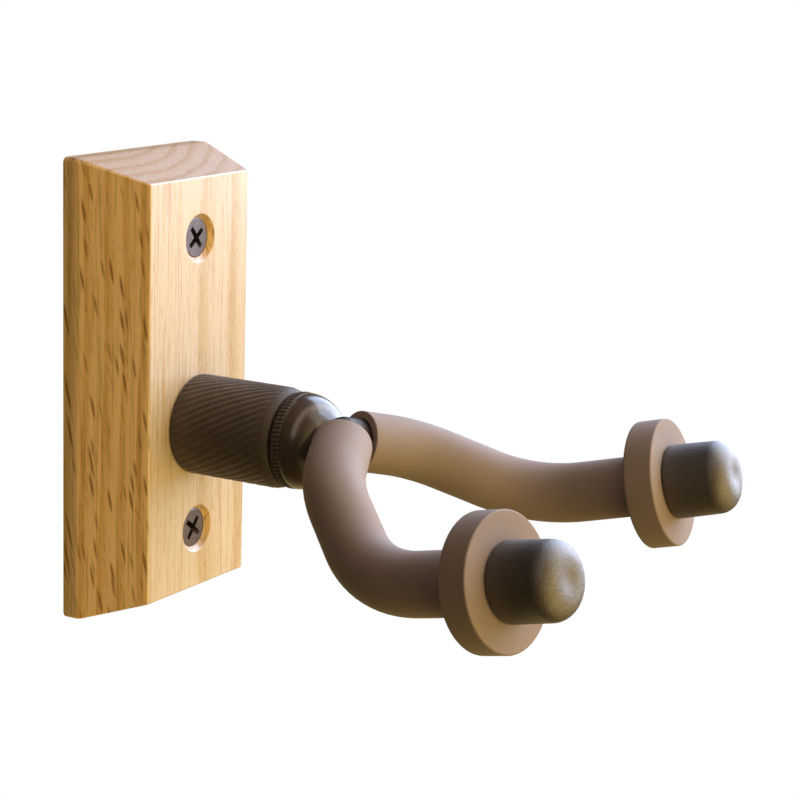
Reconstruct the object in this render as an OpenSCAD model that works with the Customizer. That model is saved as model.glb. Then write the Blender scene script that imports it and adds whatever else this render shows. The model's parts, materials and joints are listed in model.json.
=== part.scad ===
// Wall guitar hanger: a bevelled hardwood block, a knurled steel barrel bolted to it from
// behind, and a forked yoke that turns in the barrel. Rubber sleeves, collars and end caps
// cover the yoke's bent rod, and the headstock of a guitar hangs between its two arms.
// Millimetres. The wall is the plane y = 0, the hanger stands out towards -Y, and +Z is up.
// The origin is the centre of the block's back face.

/* [Wood block] */
// Width of the block against the wall
block_w = 48; // [46:0.5:60]
// Height of the block against the wall
block_h = 101.6; // [96:0.2:130]
// Thickness of the block
block_t = 19; // [18:0.5:25]
// Width of the flat front face
front_w = 36.4; // [32:0.2:40]
// Height of the flat front face
front_h = 92; // [86:0.5:94]
// Straight edge left at the wall, behind the bevels
edge_land = 3.9; // [2:0.1:8]
// Height of the barrel's axis above the block's centre (negative is below)
hub_z = -8.6; // [-12:0.1:-8.4]

/* [Wall screws] */
// Distance between the two wall screws
screw_spacing = 65.4; // [60:0.2:72]
// Length of a wall screw over its head
screw_len = 50.8; // [40:0.1:65]
// Radius of a wall screw over its thread
screw_thread_r = 2.4; // [2:0.05:2.5]
// Radius of a wall screw's flat head
screw_head_r = 4.4; // [3.8:0.1:4.8]
// Radius of the countersink where it meets the front face
sink_r = 5.35; // [5:0.05:6]
// Included angle of the countersink and the screw head
sink_angle = 82; // [80:1:90]

/* [Barrel] */
// Radius over the knurled barrel
barrel_r = 11.1; // [11:0.1:13]
// Distance of the barrel's front end from the wall
barrel_front = 43.9; // [43.9:0.1:50]
// Length of the chamfer at the barrel's front end
barrel_chamfer = 2.5; // [1:0.1:3]
// Radius of the bore that holds the two bushings
bearing_r = 8.4; // [8:0.1:9]
// Thickness of the barrel's tapped base
barrel_base = 8; // [6:0.5:9]
// Radius of the bolt that holds the barrel
bolt_r = 3.175; // [3:0.005:3.2]
// Radius of the counterbore for the bolt's head in the block's back
bolt_pocket_r = 8.2; // [8:0.1:8.3]
// Depth of that counterbore
bolt_pocket_depth = 8; // [7.5:0.1:9]

/* [Swivel] */
// Radius of the stem that turns in the barrel
stem_r = 6; // [5.5:0.1:6.5]
// Radial running clearance of the stem in its bushings
stem_clearance = 0.04; // [0.02:0.01:0.08]
// Radius of the swivel head's knurled band
head_band_r = 10.6; // [10:0.1:11]
// Distance of the nose's flat end from the wall
nose_end = 54.7; // [54:0.1:58]
// Radius of the rounding round the nose
nose_round = 7.9; // [7:0.1:8]
// Turn of the yoke about the barrel's axis as it was left (negative drops the left arm)
yoke_turn = -2.8; // [-10:0.1:10]

/* [Yoke rod] */
// Radius of the bent steel rod
rod_r = 4.76; // [4.5:0.01:4.78]
// Distance from the wall of the corner where the rod's two arms meet
fork_out = 56.9; // [56:0.1:60]
// Height of that corner above the barrel's axis
fork_up = 1.95; // [0:0.05:3]
// Angle between each arm's first run and the straight way out of the wall, seen from above
arm_spread = 66.5; // [55:0.5:75]
// Slope of that run below level
arm_drop = 15.5; // [0:0.5:20]
// Length of that run from the corner
inner_run = 12.1; // [10:0.1:16]
// Radius of the bend that turns each arm forward
inner_bend_r = 31.5; // [20:0.1:40]
// Turn of that bend
inner_bend = 26; // [20:0.5:35]
// Roll of that bend's plane about the rod
inner_roll = 24.7; // [15:0.1:35]
// Straight run between the two bends of an arm
middle_run = 10.9; // [8:0.1:15]
// Radius of the bend that lifts each arm's end
outer_bend_r = 24.6; // [20:0.1:30]
// Turn of that bend
outer_bend = 50.5; // [40:0.5:55]
// Roll of that bend's plane about the rod
outer_roll = -60.5; // [-70:0.5:-50]
// Straight run from the last bend to the collar disc
outer_run = 15; // [10:0.1:25]

/* [Rubber parts] */
// Distance from the rod's corner to the cut end of the left sleeve
left_sleeve_start = 2.7; // [2.7:0.1:8]
// Distance from the rod's corner to the cut end of the right sleeve
right_sleeve_start = 4; // [4:0.1:8]
// Outer radius of the rubber sleeves on the arms
sleeve_r = 6.55; // [6:0.05:7.5]
// Radius of the bore through the sleeves, discs and caps
rubber_bore_r = 4.8; // [4.8:0.01:4.9]
// Radius of a collar disc
disc_r = 13.8; // [12:0.1:16]
// Thickness of a collar disc
disc_t = 6.4; // [5:0.1:8]
// Radius of an end cap
cap_r = 8; // [7:0.1:9]
// Length of an end cap in front of its disc
cap_len = 14; // [13:0.1:20]
// Rounding round the end of a cap
cap_round = 4.2; // [2:0.1:5]

/* [Hidden] */
$fn = 64;

// Extra length by which a cut runs past the surface that it opens
past = 1;
// A length larger than the whole object, for cutting with half spaces
big = 300;
// Number of facets of the tight roundings and bends
fine = 96;
// Radial gap between parts that are pressed or screwed together
press_gap = 0.01;
thread_gap = 0.025;

side_bevel = atan((block_w - front_w) / 2 / (block_t - edge_land));
end_bevel = atan((block_h - front_h) / 2 / (block_t - edge_land));

// Wall screw: its head sits in the countersink with a little room round it
screw_play = 0.2;
screw_hole_r = screw_thread_r + screw_play;
thread_rise = 0.2;
screw_shank_r = screw_thread_r - thread_rise;
sink_gap = 0.03;
sink_slope = tan(sink_angle / 2);
screw_face = block_t - (sink_r - screw_head_r - sink_gap) / sink_slope;
screw_head_t = (screw_head_r - screw_shank_r) / sink_slope;
screw_point = 5;
screw_point_r = 0.3;
recess_r = 2.6;
recess_flare = 0.75;
recess_floor_r = 0.8;
recess_depth = 2.4;
recess_slot = 1.1;

// Bolt, with a flat washer and a spring washer under its head, in the block's back
washer_t = 1.4;
lock_washer_t = 1.6;
lock_washer_r = 5.8;
lock_washer_play = 0.1;
lock_washer_slit = 0.8;
lock_washer_turn = 30;
bolt_play = 0.25;
bolt_hole_r = bolt_r + bolt_play;
washer_play = 0.3;
bolt_head_r = 6.2;
bolt_head_t = 3.8;
bolt_head_face = bolt_pocket_depth - washer_t - lock_washer_t;
bolt_tip_sunk = 0.5;
bolt_tip = block_t + barrel_base - bolt_tip_sunk;
socket_r = 2.9;
socket_depth = 2.6;

// Bearings in the barrel: thrust washer, rear bushing, set screw, front bushing
cavity_floor = block_t + barrel_base;
thrust_t = 1;
end_play = 0.1;
stem_back = cavity_floor + thrust_t + end_play;
rear_bushing_len = 4.2;
front_bushing_len = 5.9;
front_bushing_z = barrel_front - front_bushing_len;
flange_inset = 1.7;
flange_r = barrel_r - flange_inset;
flange_t = 0.6;
lip_inset = 0.8;
barrel_lip_r = barrel_r - lip_inset;

// Set screw through the barrel's underside, with its point in the stem's groove
set_screw_z = (stem_back + rear_bushing_len + front_bushing_z) / 2;
set_screw_r = 2.5;
set_screw_inner = 7;
set_screw_outer = barrel_r - 0.4;
set_point_r = 1.4;
set_point_gap = 0.3;
set_socket_r = 1.44;
set_socket_depth = 2;
groove_depth = 1.4;
groove_r = stem_r - groove_depth;
groove_half = set_point_r + set_point_gap;

// Swivel head: knurled band, then a nose rounded off towards its flat end
head_gap = 0.15;
head_back = barrel_front + flange_t + head_gap;
nose_lap = 0.2;
band_end = nose_end - nose_round + nose_lap;
band_step = 0.1;
nose_flat_r = head_band_r - nose_round - band_step;
stem_front = 50.5;

// Rod and rubber
rod_in_cap = 10;
ball_rise = 0.03;
rod_end_gap = 0.3;
cap_bore_depth = rod_in_cap + rod_end_gap;
saddle_gap = 0.1;
arm_bends = [[inner_bend_r, inner_bend, inner_roll], [outer_bend_r, outer_bend, outer_roll]];
arm_runs = [inner_run, middle_run, outer_run];

// Distance from the rod's corner to the cut end of one arm's sleeve
function sleeve_start(left) = left ? left_sleeve_start : right_sleeve_start;

// Places children on an axis square to the wall at height z, with their z as the distance from it
module from_wall(z = 0) translate([0, 0, z]) rotate([90, 0, 0]) children();

// Places children in the yoke's frame, which is turned about the barrel's axis
module on_yoke() translate([0, 0, hub_z]) rotate([0, yoke_turn, 0]) children();

// Puts children at the rod's corner, with their z along the right arm's first run and their x
// level and pointing forward; the left arm is the same, mirrored
module at_corner(left)
    on_yoke() mirror([left ? 1 : 0, 0, 0]) translate([0, -fork_out, fork_up])
        rotate([0, 0, arm_spread]) rotate([90 + arm_drop, 0, 0]) rotate([0, 0, 180]) children();

// Moves children from the start of one run to the start of run number n
module past_runs(n, i = 0) {
    if (i == n) children();
    else translate([0, 0, arm_runs[i]]) past_bend(arm_bends[i]) past_runs(n, i + 1) children();
}

// Moves children past one bend, given as [radius, turn, roll]
module past_bend(bend)
    rotate([0, 0, bend[2]]) translate([bend[0], 0, 0]) rotate([0, bend[1], 0])
        translate([-bend[0], 0, 0]) children();

// Round bar of radius r through one bend
module bend_bar(bend, r)
    rotate([0, 0, bend[2]]) translate([bend[0], 0, 0]) rotate([90, 0, 180])
        rotate_extrude(angle = bend[1], $fn = fine) translate([bend[0], 0]) circle(r);

// Straight tube along z
module tube(len, outer, inner)
    difference() {
        cylinder(h = len, r = outer);
        translate([0, 0, -past]) cylinder(h = len + 2 * past, r = inner);
    }

// One whole arm as a round bar, from start on the first run to more past the end of the last,
// with a ball in each place where a run meets a bend, so that the pieces join into one solid
module arm_bar(start, more, r) {
    translate([0, 0, start]) cylinder(h = arm_runs[0] - start, r = r);
    past_runs(1) cylinder(h = arm_runs[1], r = r);
    past_runs(2) cylinder(h = arm_runs[2] + more, r = r);
    for (i = [0, 1]) {
        past_runs(i) translate([0, 0, arm_runs[i]]) {
            sphere(r = r + ball_rise);
            bend_bar(arm_bends[i], r);
        }
        past_runs(i + 1) sphere(r = r + ball_rise);
    }
}

// Places children at the back of the collar disc, with their z along the arm's end
module at_disc(left) at_corner(left) past_runs(2) translate([0, 0, outer_run]) children();

// Block with a flat front face and four bevels that start at the straight edge
module bevelled_block()
    difference() {
        translate([-block_w / 2, -block_t, -block_h / 2]) cube([block_w, block_t, block_h]);
        for (side = [0, 1]) mirror([side, 0, 0]) translate([block_w / 2, -edge_land, 0])
            rotate([0, 0, -side_bevel]) translate([0, -big, -big / 2]) cube(big);
        for (side = [0, 1]) mirror([0, 0, side]) translate([0, -edge_land, block_h / 2])
            rotate([end_bevel, 0, 0]) translate([-big / 2, -big, 0]) cube(big);
    }

module wood_block()
    color("burlywood") difference() {
        bevelled_block();
        for (side = [-1, 1]) from_wall(side * screw_spacing / 2) {
            translate([0, 0, -past]) cylinder(h = block_t + 2 * past, r = screw_hole_r);
            translate([0, 0, block_t - sink_r / sink_slope])
                cylinder(h = sink_r / sink_slope + past, r1 = 0, r2 = sink_r + past * sink_slope);
        }
        from_wall(hub_z) {
            translate([0, 0, -past]) cylinder(h = block_t + 2 * past, r = bolt_hole_r);
            translate([0, 0, -past]) cylinder(h = bolt_pocket_depth + past, r = bolt_pocket_r);
        }
    }

// Cross recess, its mouth at z = 0 and its floor below
module cross_recess()
    intersection() {
        translate([0, 0, -recess_depth])
            cylinder(h = recess_depth + past, r1 = recess_floor_r, r2 = recess_r + recess_flare);
        for (turn = [0, 90]) rotate([0, 0, turn + 45])
            translate([-recess_r, -recess_slot / 2, -recess_depth])
                cube([2 * recess_r, recess_slot, recess_depth + past]);
    }

// Flat-head wood screw seen from the front, its point past the wall
module wall_screw()
    difference() {
        union() {
            translate([0, 0, screw_face - screw_head_t])
                cylinder(h = screw_head_t, r1 = screw_shank_r, r2 = screw_head_r);
            cylinder(h = screw_face - screw_head_t, r = screw_shank_r);
            translate([0, 0, screw_face - screw_len + screw_point])
                cylinder(h = screw_len - screw_point - screw_face, r = screw_thread_r);
            translate([0, 0, screw_face - screw_len])
                cylinder(h = screw_point, r1 = screw_point_r, r2 = screw_thread_r);
        }
        translate([0, 0, screw_face]) cross_recess();
    }

module wall_screw_upper() color("dimgray") from_wall(screw_spacing / 2) wall_screw();

module wall_screw_lower() color("dimgray") from_wall(-screw_spacing / 2) wall_screw();

module swivel_barrel()
    color("darkslategray") from_wall(hub_z) difference() {
        union() {
            translate([0, 0, block_t])
                cylinder(h = barrel_front - barrel_chamfer - block_t, r = barrel_r);
            translate([0, 0, barrel_front - barrel_chamfer])
                cylinder(h = barrel_chamfer, r1 = barrel_r, r2 = barrel_lip_r);
        }
        translate([0, 0, cavity_floor])
            cylinder(h = barrel_front - cavity_floor + past, r = bearing_r);
        translate([0, 0, block_t - past])
            cylinder(h = barrel_base + 2 * past, r = bolt_r + thread_gap);
        translate([0, 0, set_screw_z]) rotate([90, 0, 0])
            cylinder(h = barrel_r + past, r = set_screw_r + thread_gap);
    }

module barrel_bolt()
    color("silver") from_wall(hub_z) difference() {
        union() {
            translate([0, 0, bolt_head_face - bolt_head_t]) cylinder(h = bolt_head_t, r = bolt_head_r);
            translate([0, 0, bolt_head_face - past])
                cylinder(h = bolt_tip - bolt_head_face + past, r = bolt_r);
        }
        translate([0, 0, bolt_head_face - bolt_head_t - past])
            cylinder(h = socket_depth + past, r = socket_r, $fn = 6);
    }

module barrel_washer()
    color("silver") from_wall(hub_z) translate([0, 0, bolt_pocket_depth - washer_t])
        tube(washer_t, bolt_pocket_r - washer_play, bolt_hole_r);

// Spring washer, cut through on one side
module barrel_lock_washer()
    color("silver") from_wall(hub_z) translate([0, 0, bolt_head_face]) difference() {
        tube(lock_washer_t, lock_washer_r, bolt_r + lock_washer_play);
        rotate([0, 0, lock_washer_turn]) translate([0, -lock_washer_slit / 2, -past])
            cube([bolt_pocket_r, lock_washer_slit, lock_washer_t + 2 * past]);
    }

module retaining_set_screw()
    color("dimgray") from_wall(hub_z) translate([0, 0, set_screw_z]) rotate([90, 0, 0])
        difference() {
            union() {
                translate([0, 0, set_screw_inner])
                    cylinder(h = set_screw_outer - set_screw_inner, r = set_screw_r);
                translate([0, 0, groove_r + set_point_gap])
                    cylinder(h = set_screw_inner + past - groove_r - set_point_gap, r = set_point_r);
            }
            translate([0, 0, set_screw_outer - set_socket_depth])
                cylinder(h = set_socket_depth + past, r = set_socket_r, $fn = 6);
        }

module front_bushing()
    color("peru") from_wall(hub_z) difference() {
        union() {
            translate([0, 0, front_bushing_z])
                cylinder(h = barrel_front - front_bushing_z, r = bearing_r - press_gap);
            translate([0, 0, barrel_front]) cylinder(h = flange_t, r = flange_r);
        }
        translate([0, 0, front_bushing_z - past])
            cylinder(h = head_back - front_bushing_z + 2 * past, r = stem_r + stem_clearance);
    }

module rear_bushing()
    color("peru") from_wall(hub_z) translate([0, 0, stem_back])
        tube(rear_bushing_len, bearing_r - press_gap, stem_r + stem_clearance);

module thrust_washer()
    color("ivory") from_wall(hub_z) translate([0, 0, cavity_floor])
        tube(thrust_t, bearing_r - press_gap, bolt_hole_r);

module pivot_stem()
    color("gray") on_yoke() from_wall() difference() {
        translate([0, 0, stem_back]) cylinder(h = stem_front - stem_back, r = stem_r);
        translate([0, 0, set_screw_z - groove_half])
            tube(2 * groove_half, stem_r + past, groove_r);
    }

module swivel_head()
    color("black") difference() {
        on_yoke() from_wall() difference() {
            rotate_extrude() {
                translate([0, head_back]) square([head_band_r, band_end - head_back]);
                translate([0, band_end - past]) square([nose_flat_r, nose_end - band_end + past]);
                intersection() {
                    translate([nose_flat_r, nose_end - nose_round]) circle(r = nose_round, $fn = fine);
                    translate([nose_flat_r, band_end - past]) square(nose_round + past);
                }
            }
            translate([0, 0, head_back - past])
                cylinder(h = stem_front - head_back + past, r = stem_r + press_gap);
        }
        for (left = [false, true]) at_corner(left) {
            sphere(r = rod_r + ball_rise + press_gap);
            cylinder(h = inner_run, r = rod_r + press_gap);
            translate([0, 0, sleeve_start(left)])
                cylinder(h = inner_run, r = sleeve_r + saddle_gap);
        }
    }

// Both arms of the rod, with a ball at the corner where they meet
module yoke_rod()
    color("gray") for (left = [false, true]) at_corner(left) {
        sphere(r = rod_r + ball_rise);
        arm_bar(0, disc_t + rod_in_cap, rod_r);
    }

module sleeve(left)
    color("rosybrown") at_corner(left) difference() {
        arm_bar(sleeve_start(left), 0, sleeve_r);
        arm_bar(sleeve_start(left) - past, past, rubber_bore_r);
    }

module left_sleeve() sleeve(true);

module right_sleeve() sleeve(false);

module collar_disc(left)
    color("rosybrown") at_disc(left) tube(disc_t, disc_r, rubber_bore_r);

module left_disc() collar_disc(true);

module right_disc() collar_disc(false);

module end_cap(left)
    color("black") at_disc(left) translate([0, 0, disc_t]) difference() {
        rotate_extrude() {
            square([cap_r, cap_len - cap_round]);
            square([cap_r - cap_round, cap_len]);
            intersection() {
                translate([cap_r - cap_round, cap_len - cap_round]) circle(r = cap_round, $fn = fine);
                square([cap_r, cap_len]);
            }
        }
        translate([0, 0, -past]) cylinder(h = cap_bore_depth + past, r = rubber_bore_r);
    }

module left_cap() end_cap(true);

module right_cap() end_cap(false);

wood_block();
wall_screw_upper();
wall_screw_lower();
swivel_barrel();
barrel_bolt();
barrel_washer();
barrel_lock_washer();
retaining_set_screw();
front_bushing();
rear_bushing();
thrust_washer();
pivot_stem();
swivel_head();
yoke_rod();
left_sleeve();
right_sleeve();
left_disc();
right_disc();
left_cap();
right_cap();
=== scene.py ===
# Looks of the wall guitar hanger: an oak block, a knurled barrel, and a rubber-covered fork
# that turns in the barrel. Lengths are in millimetres until a mesh is made. The wall is y = 0,
# the hanger stands out towards -Y, and "distance" is always the distance from the wall.

import json
import math

import bmesh
import bpy
from mathutils import Matrix, Vector


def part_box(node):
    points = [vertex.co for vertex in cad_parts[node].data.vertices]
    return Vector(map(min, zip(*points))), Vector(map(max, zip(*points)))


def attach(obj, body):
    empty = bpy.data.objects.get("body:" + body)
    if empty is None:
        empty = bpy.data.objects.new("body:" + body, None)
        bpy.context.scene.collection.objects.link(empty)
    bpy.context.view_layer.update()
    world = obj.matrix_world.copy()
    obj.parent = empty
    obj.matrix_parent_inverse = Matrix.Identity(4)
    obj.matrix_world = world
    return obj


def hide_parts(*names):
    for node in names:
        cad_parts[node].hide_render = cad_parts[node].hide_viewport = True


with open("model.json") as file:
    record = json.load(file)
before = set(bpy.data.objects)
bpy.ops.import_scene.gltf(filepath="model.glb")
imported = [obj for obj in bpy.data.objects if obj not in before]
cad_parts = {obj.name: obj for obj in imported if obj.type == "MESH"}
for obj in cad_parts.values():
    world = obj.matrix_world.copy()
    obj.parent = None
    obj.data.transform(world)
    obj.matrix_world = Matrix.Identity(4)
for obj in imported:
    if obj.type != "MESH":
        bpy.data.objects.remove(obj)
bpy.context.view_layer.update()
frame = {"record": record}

MM = 0.001
TINY, WELD = 1e-9, 1e-4


def box_mm(node):
    """Lowest and highest corner of a CAD node, in millimetres."""
    low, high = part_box(node)
    return low / MM, high / MM


def centre_of(node):
    """Middle of a CAD node's box, in millimetres."""
    low, high = box_mm(node)
    return (low + high) / 2


def width_of(node):
    """Width of a CAD node along X, in millimetres."""
    low, high = box_mm(node)
    return high.x - low.x


def span_of(node):
    """Nearest and farthest distance of a CAD node from the wall."""
    low, high = box_mm(node)
    return -high.y, -low.y


# Bodies and sizes that come from the frame
BODIES = frame["record"]["behaviour"]["bodies"]
BLOCK_LOW, BLOCK_HIGH = box_mm("wood_block")
BLOCK_T = -BLOCK_LOW.y
HUB_Z = centre_of("swivel_barrel").z
BARREL_R = width_of("swivel_barrel") / 2
BARREL_FRONT = span_of("swivel_barrel")[1]
SCREW_HEAD_R = width_of("wall_screw_upper") / 2
SCREW_TIP, SCREW_FACE = span_of("wall_screw_upper")
STEM_BACK, STEM_FRONT = span_of("pivot_stem")
GROOVE_MIDDLE = -centre_of("retaining_set_screw").y

# Sizes of the CAD design that a box can't give
FRONT_W, FRONT_H = 36.4, 92
EDGE_LAND = 3.9
SINK_R = 5.35
SINK_SLOPE = math.tan(math.radians(41))
SCREW_SHANK_R, SCREW_THREAD_R, SCREW_HOLE_R = 2.2, 2.4, 2.6
BOLT_R, BOLT_HOLE_R, BOLT_HEAD_T = 3.175, 3.425, 3.8
BOLT_POCKET_R, BOLT_POCKET_DEPTH = 8.2, 8
BARREL_BASE, BEARING_R, KNURL_GROOVES = 8, 8.4, 40
STEM_R, GROOVE_R, GROOVE_HALF = 6, 4.6, 1.7
RUNNING_GAP, PRESS_GAP = 0.04, 0.01
HEAD_BAND_R, HEAD_BACK, NOSE_END, NOSE_ROUND = 10.6, 44.65, 54.7, 7.9
TEETH, TEETH_LOW, TEETH_HIGH = 68, 0.2, 2.1
YOKE_TURN = -2.8
ROD_R, SLEEVE_R, RUBBER_BORE_R = 4.76, 6.55, 4.8
LEFT_SLEEVE_START, RIGHT_SLEEVE_START = 2.7, 4
FORK_OUT, FORK_UP, ARM_SPREAD, ARM_DROP = 56.9, 1.95, 66.5, 15.5
ARM_RUNS = (12.1, 10.9, 15)
ARM_BENDS = ((31.5, 26, 24.7), (24.6, 50.5, -60.5))
DISC_R, DISC_T = 13.8, 6.4
CAP_R, CAP_LEN, ROD_IN_CAP = 8, 14, 10


# ---------------------------------------------------------------- placing

def from_wall(x, z):
    """Matrix whose z axis points out of the wall at (x, z)."""
    return Matrix.Translation((x, 0, z)) @ Matrix.Rotation(math.radians(90), 4, "X")


HUB = from_wall(0, HUB_Z)
YOKE = Matrix.Translation((0, 0, HUB_Z)) @ Matrix.Rotation(math.radians(YOKE_TURN), 4, "Y")
YOKE_AXIS = YOKE @ Matrix.Rotation(math.radians(90), 4, "X")


def arm_start(left):
    """Matrix at the corner of the rod, with z along the arm's first run."""
    mirror = Matrix.Diagonal((-1 if left else 1, 1, 1, 1))
    turn = (Matrix.Rotation(math.radians(ARM_SPREAD), 4, "Z")
            @ Matrix.Rotation(math.radians(90 + ARM_DROP), 4, "X")
            @ Matrix.Rotation(math.pi, 4, "Z"))
    return YOKE @ mirror @ Matrix.Translation((0, -FORK_OUT, FORK_UP)) @ turn


def sleeve_start(left):
    """Distance from the rod's corner to the cut end of an arm's sleeve."""
    return LEFT_SLEEVE_START if left else RIGHT_SLEEVE_START


def arm_length():
    """Length of an arm's centre line from the corner to the collar disc."""
    return sum(ARM_RUNS) + sum(radius * math.radians(turn) for radius, turn, _ in ARM_BENDS)


def along_arm(left, distance):
    """Matrix at a distance along an arm from the corner, with z along the rod.
    The frame doesn't twist, so rings of vertices line up through the bends."""
    here, rolled = arm_start(left), 0.0
    for run, (radius, turn, roll) in zip(ARM_RUNS, ARM_BENDS):
        if distance <= run:
            break
        here, distance = here @ Matrix.Translation((0, 0, run)), distance - run
        angle = min(distance / radius, math.radians(turn))
        rolled += math.radians(roll)
        here = (here @ Matrix.Rotation(math.radians(roll), 4, "Z")
                @ Matrix.Translation((radius, 0, 0))
                @ Matrix.Rotation(angle, 4, "Y")
                @ Matrix.Translation((-radius, 0, 0)))
        distance -= angle * radius
        if distance < TINY:
            break
    return here @ Matrix.Translation((0, 0, distance)) @ Matrix.Rotation(-rolled, 4, "Z")


def arm_end(left):
    """Matrix at the back of the collar disc, with z along the arm's end."""
    return along_arm(left, arm_length())


def arm_stops(start, end, step=1.6):
    """Distances along an arm that are close together in its bends and end exactly at both ends."""
    count = max(2, round((end - start) / step))
    return [start + (end - start) * i / count for i in range(count + 1)]


# ---------------------------------------------------------------- meshes

def rounded(corners, steps=5, closed=True):
    """Outline through corners (a, b, fillet radius), with an arc at each corner that has one."""
    points = []
    for i, (a, b, fillet) in enumerate(corners):
        here = Vector((a, b))
        if fillet == 0 or (not closed and i in (0, len(corners) - 1)):
            points.append(here)
            continue
        back = (Vector(corners[i - 1][:2]) - here).normalized()
        ahead = (Vector(corners[(i + 1) % len(corners)][:2]) - here).normalized()
        half = back.angle(ahead) / 2
        centre = here + (back + ahead).normalized() * (fillet / math.sin(half))
        first = here + back * (fillet / math.tan(half)) - centre
        last = here + ahead * (fillet / math.tan(half)) - centre
        sweep = first.angle_signed(last)
        points += [centre + Matrix.Rotation(-sweep * k / steps, 2) @ first
                   for k in range(steps + 1)]
    return [(p[0], p[1]) for p in points]


def turned(outline, steps=96, closed=True, place=None, warp=None):
    """Mesh data of an outline of (radius, height) points turned about the z axis.
    place(height) bends the axis, and warp(radius, angle, height) shapes each vertex.
    A radius of 0 makes a pole; an open outline starts and ends at one."""
    verts, rings = [], []
    for radius, height in outline:
        at = place(height) if place else Matrix.Translation((0, 0, height))
        if radius < TINY:
            rings.append([len(verts)] * steps)
            verts.append(at @ Vector((0, 0, 0)))
            continue
        rings.append(list(range(len(verts), len(verts) + steps)))
        for k in range(steps):
            r, angle = radius, 2 * math.pi * k / steps
            if warp:
                r, angle = warp(radius, angle, height)
            verts.append(at @ Vector((r * math.cos(angle), r * math.sin(angle), 0)))
    pairs = list(zip(rings, rings[1:] + rings[:1])) if closed else list(zip(rings, rings[1:]))
    faces = []
    for low, high in pairs:
        for k in range(steps):
            n = (k + 1) % steps
            face = [low[k], low[n], high[n], high[k]]
            kept = [v for i, v in enumerate(face) if v != face[i - 1]]
            if len(kept) > 2:
                faces.append(kept)
    return verts, faces


def lofted(rings):
    """Mesh data that joins rings of equally many vertices and closes both ends."""
    count = len(rings[0])
    verts = [v for ring in rings for v in ring]
    faces = [list(range(count)), list(range(len(verts) - count, len(verts)))]
    for low in range(0, len(verts) - count, count):
        for k in range(count):
            n = (k + 1) % count
            faces.append([low + k, low + n, low + count + n, low + count + k])
    return verts, faces


def as_mesh(name, data, matrix=None):
    """Mesh in metres from vertices and faces in millimetres, with its faces turned outwards."""
    verts, faces = data
    mesh = bpy.data.meshes.new(name)
    mesh.from_pydata([tuple((matrix @ v if matrix else v) * MM) for v in verts], [], faces)
    work = bmesh.new()
    work.from_mesh(mesh)
    bmesh.ops.remove_doubles(work, verts=work.verts, dist=WELD * MM)
    bmesh.ops.recalc_face_normals(work, faces=work.faces)
    work.to_mesh(mesh)
    work.free()
    return mesh


def cut(mesh, *cutters):
    """The mesh with each cutter mesh taken away from it."""
    target = bpy.data.objects.new("target", mesh)
    bpy.context.scene.collection.objects.link(target)
    tools = []
    for cutter in cutters:
        tool = bpy.data.objects.new("tool", cutter)
        bpy.context.scene.collection.objects.link(tool)
        modifier = target.modifiers.new("cut", "BOOLEAN")
        modifier.operation, modifier.solver, modifier.object = "DIFFERENCE", "EXACT", tool
        tools.append(tool)
    bpy.context.view_layer.update()
    result = bpy.data.meshes.new_from_object(
        target.evaluated_get(bpy.context.evaluated_depsgraph_get()))
    for used in [target] + tools:
        bpy.data.objects.remove(used)
    if not result.polygons:
        raise ValueError(f"nothing is left of {mesh.name}")
    return result


def piece(name, mesh, material, slot, *nodes, sharp=40):
    """Shown piece that stands for CAD nodes and rides on their body."""
    obj = bpy.data.objects.new(name, mesh)
    bpy.context.scene.collection.objects.link(obj)
    mesh.materials.clear()
    mesh.materials.append(material)
    mesh.shade_smooth()
    mesh.set_sharp_from_angle(angle=math.radians(sharp))
    even = obj.modifiers.new("even_normals", "WEIGHTED_NORMAL")
    even.keep_sharp = True
    body = next(b for b, names in BODIES.items() if nodes[0] in names)
    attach(obj, body)
    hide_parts(*nodes)
    return obj


def helix(pitch, root, crest, start, end, fade):
    """Warp that cuts a thread between two heights, faded in and out over a length."""
    steepness = 1.25  # above 1, so that the crests end flat

    def warp(radius, angle, height):
        if radius < root or not start <= height <= end:
            return radius, angle
        wave = abs(2 * ((height / pitch - angle / (2 * math.pi)) % 1) - 1)
        strength = min(1, (height - start) / fade, (end - height) / fade)
        thread = root + (crest - root) * min(1, wave * steepness)
        return radius + (min(radius, thread) - radius) * strength, angle
    return warp


def hexagon_cutter(radius, low, high, matrix):
    """Cutter for a hexagon socket between two heights."""
    return as_mesh("hex", turned([(0, low), (radius, low), (radius, high), (0, high)],
                                 steps=6, closed=False), matrix)


# ---------------------------------------------------------------- materials

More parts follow.
